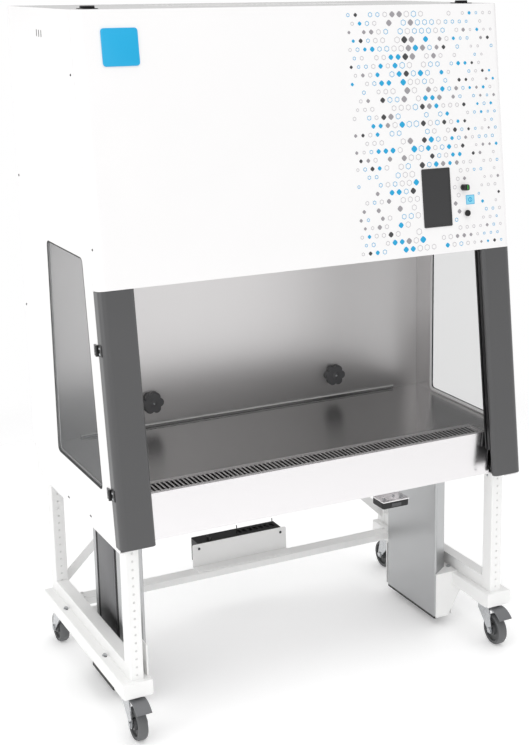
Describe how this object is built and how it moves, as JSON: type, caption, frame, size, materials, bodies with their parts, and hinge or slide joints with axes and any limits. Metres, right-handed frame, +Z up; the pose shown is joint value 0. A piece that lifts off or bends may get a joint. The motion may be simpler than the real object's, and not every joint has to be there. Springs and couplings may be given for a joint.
{
  "type": "biological safety cabinet",
  "caption": "Class II biological safety cabinet with sliding sash, side windows and hinged front panel, on a castored electric height-adjustable stand.",
  "frame": {"origin": "on the floor, under the centre of the bounding box", "axes": "+Z up, the operator stands at -Y and faces +Y, +X to the operator's right"},
  "size_m": [1.3586, 0.8421, 2.0773],
  "materials": {
    "steel_black": "satin",
    "white_paint": "gloss",
    "grey_paint": "satin",
    "stainless": "brushed",
    "column_aluminium": "brushed, anodised",
    "pane": "clear",
    "black_plastic": "fine texture",
    "grey_plastic": "fine texture",
    "galvanised": "zinc plated",
    "castor_steel": "zinc plated",
    "castor_tread": "matt",
    "filter_media": "pleated",
    "fan_plastic": "moulded"
  },
  "bodies": {
    "base": {"left_castor_beam": "white_paint", "right_castor_beam": "white_paint", "rear_crossbeam": "white_paint", "left_lift_bracket": "white_paint", "right_lift_bracket": "white_paint", "left_column_outer": "column_aluminium", "right_column_outer": "column_aluminium", "left_lift_drive": "black_plastic", "right_lift_drive": "black_plastic", "control_tray": "white_paint", "control_box": "black_plastic"},
    "cabinet": {"left_column_inner": "column_aluminium", "right_column_inner": "column_aluminium", "left_leg_frame": "white_paint", "right_leg_frame": "white_paint", "rear_brace": "white_paint", "left_side_panel": "white_paint", "right_side_panel": "white_paint", "left_side_window": "pane", "right_side_window": "pane", "top_panel": "white_paint", "rear_panel": "white_paint", "base_tub": "white_paint", "worktop": "stainless", "front_grille": "stainless", "left_side_sill": "stainless", "right_side_sill": "stainless", "back_wall": "stainless", "left_sash_guide": "black_plastic", "right_sash_guide": "black_plastic", "left_pillar_hinges": "steel_black", "right_pillar_hinges": "steel_black", "downflow_filter": "filter_media", "exhaust_filter": "filter_media", "air_box": "galvanised", "lamp": "white_paint", "handset": "black_plastic"},
    "sash": {"sash_glass": "pane"},
    "left_pillar": {"left_pillar": "grey_paint"},
    "right_pillar": {"right_pillar": "grey_paint"},
    "front_panel": {"front_panel": "white_paint", "display": "black_plastic"},
    "selector_knob": {"selector_knob": "black_plastic"},
    "push_button": {"push_button": "black_plastic"},
    "left_port_cap": {"left_port_cap": "grey_plastic"},
    "right_port_cap": {"right_port_cap": "grey_plastic"},
    "left_impeller": {"left_impeller": "fan_plastic"},
    "right_impeller": {"right_impeller": "fan_plastic"},
    "handset_rocker": {"handset_rocker": "grey_plastic"},
    "left_front_castor": {"left_front_castor_fork": "castor_steel"},
    "left_front_wheel": {"left_front_wheel": "castor_tread"},
    "left_rear_castor": {"left_rear_castor_fork": "castor_steel"},
    "left_rear_wheel": {"left_rear_wheel": "castor_tread"},
    "right_front_castor": {"right_front_castor_fork": "castor_steel"},
    "right_front_wheel": {"right_front_wheel": "castor_tread"},
    "right_rear_castor": {"right_rear_castor_fork": "castor_steel"},
    "right_rear_wheel": {"right_rear_wheel": "castor_tread"},
    "left_brake_pedal": {"left_brake_pedal": "grey_plastic"},
    "right_brake_pedal": {"right_brake_pedal": "grey_plastic"}
  },
  "joints": [
    {"name": "lift", "type": "slide", "parent": "base", "child": "cabinet", "axis": [0, 0, 1], "range_m": [0, 0.3]},
    {"name": "sash_slide", "type": "slide", "parent": "cabinet", "child": "sash", "axis": [0, -0.126, -0.992], "range_m": [0, 0.59]},
    {"name": "front_panel_hinge", "type": "hinge", "parent": "cabinet", "child": "front_panel", "pos_m": [0, -0.18806, 2.0728], "axis": [-1, 0, 0], "range_deg": [0, 75]},
    {"name": "knob_turn", "type": "hinge", "parent": "front_panel", "child": "selector_knob", "pos_m": [0.508, -0.30537, 1.5215], "axis": [0, -0.992, 0.126], "range_deg": [-45, 45]},
    {"name": "button_press", "type": "slide", "parent": "front_panel", "child": "push_button", "axis": [0, 0.992, -0.126], "range_m": [0, 0.003], "stiffness_N_per_m": 400, "springref_m": -0.001},
    {"name": "rocker_tilt", "type": "hinge", "parent": "cabinet", "child": "handset_rocker", "pos_m": [0.2455, -0.351, 0.5575], "axis": [1, 0, 0], "range_deg": [-6, 6], "stiffness_Nm_per_rad": 0.05},
    {"name": "left_pillar_hinge", "type": "hinge", "parent": "cabinet", "child": "left_pillar", "pos_m": [-0.6748, -0.35435, 0.75901], "axis": [0, -0.126, -0.992], "range_deg": [0, 100]},
    {"name": "left_port_cap_turn", "type": "hinge", "parent": "cabinet", "child": "left_port_cap", "pos_m": [-0.3305, 0.2095, 0.825], "axis": [0, 1, 0], "range_deg": [0, 90]},
    {"name": "left_fan_spin", "type": "hinge", "parent": "cabinet", "child": "left_impeller", "pos_m": [-0.31, 0.1725, 1.715], "axis": [0, 1, 0], "continuous": true},
    {"name": "left_brake", "type": "hinge", "parent": "left_front_castor", "child": "left_brake_pedal", "pos_m": [-0.6242, -0.3465, 0.12], "axis": [1, 0, 0], "range_deg": [0, 8]},
    {"name": "left_front_swivel", "type": "hinge", "parent": "base", "child": "left_front_castor", "pos_m": [-0.6242, -0.3195, 0.125], "axis": [0, 0, 1], "continuous": true},
    {"name": "left_front_axle", "type": "hinge", "parent": "left_front_castor", "child": "left_front_wheel", "pos_m": [-0.6242, -0.3578, 0.05], "axis": [1, 0, 0], "continuous": true},
    {"name": "left_rear_swivel", "type": "hinge", "parent": "base", "child": "left_rear_castor", "pos_m": [-0.6242, 0.3328, 0.125], "axis": [0, 0, 1], "continuous": true},
    {"name": "left_rear_axle", "type": "hinge", "parent": "left_rear_castor", "child": "left_rear_wheel", "pos_m": [-0.6242, 0.3711, 0.05], "axis": [1, 0, 0], "continuous": true},
    {"name": "right_pillar_hinge", "type": "hinge", "parent": "cabinet", "child": "right_pillar", "pos_m": [0.6748, -0.35435, 0.75901], "axis": [0, 0.126, 0.992], "range_deg": [0, 100]},
    {"name": "right_port_cap_turn", "type": "hinge", "parent": "cabinet", "child": "right_port_cap", "pos_m": [0.3305, 0.2095, 0.825], "axis": [0, 1, 0], "range_deg": [0, 90]},
    {"name": "right_fan_spin", "type": "hinge", "parent": "cabinet", "child": "right_impeller", "pos_m": [0.31, 0.1725, 1.715], "axis": [0, 1, 0], "continuous": true},
    {"name": "right_brake", "type": "hinge", "parent": "right_front_castor", "child": "right_brake_pedal", "pos_m": [0.6242, -0.3465, 0.12], "axis": [1, 0, 0], "range_deg": [0, 8]},
    {"name": "right_front_swivel", "type": "hinge", "parent": "base", "child": "right_front_castor", "pos_m": [0.6242, -0.3195, 0.125], "axis": [0, 0, 1], "continuous": true},
    {"name": "right_front_axle", "type": "hinge", "parent": "right_front_castor", "child": "right_front_wheel", "pos_m": [0.6242, -0.3578, 0.05], "axis": [1, 0, 0], "continuous": true},
    {"name": "right_rear_swivel", "type": "hinge", "parent": "base", "child": "right_rear_castor", "pos_m": [0.6242, 0.3328, 0.125], "axis": [0, 0, 1], "continuous": true},
    {"name": "right_rear_axle", "type": "hinge", "parent": "right_rear_castor", "child": "right_rear_wheel", "pos_m": [0.6242, 0.3711, 0.05], "axis": [1, 0, 0], "continuous": true}
  ]
}
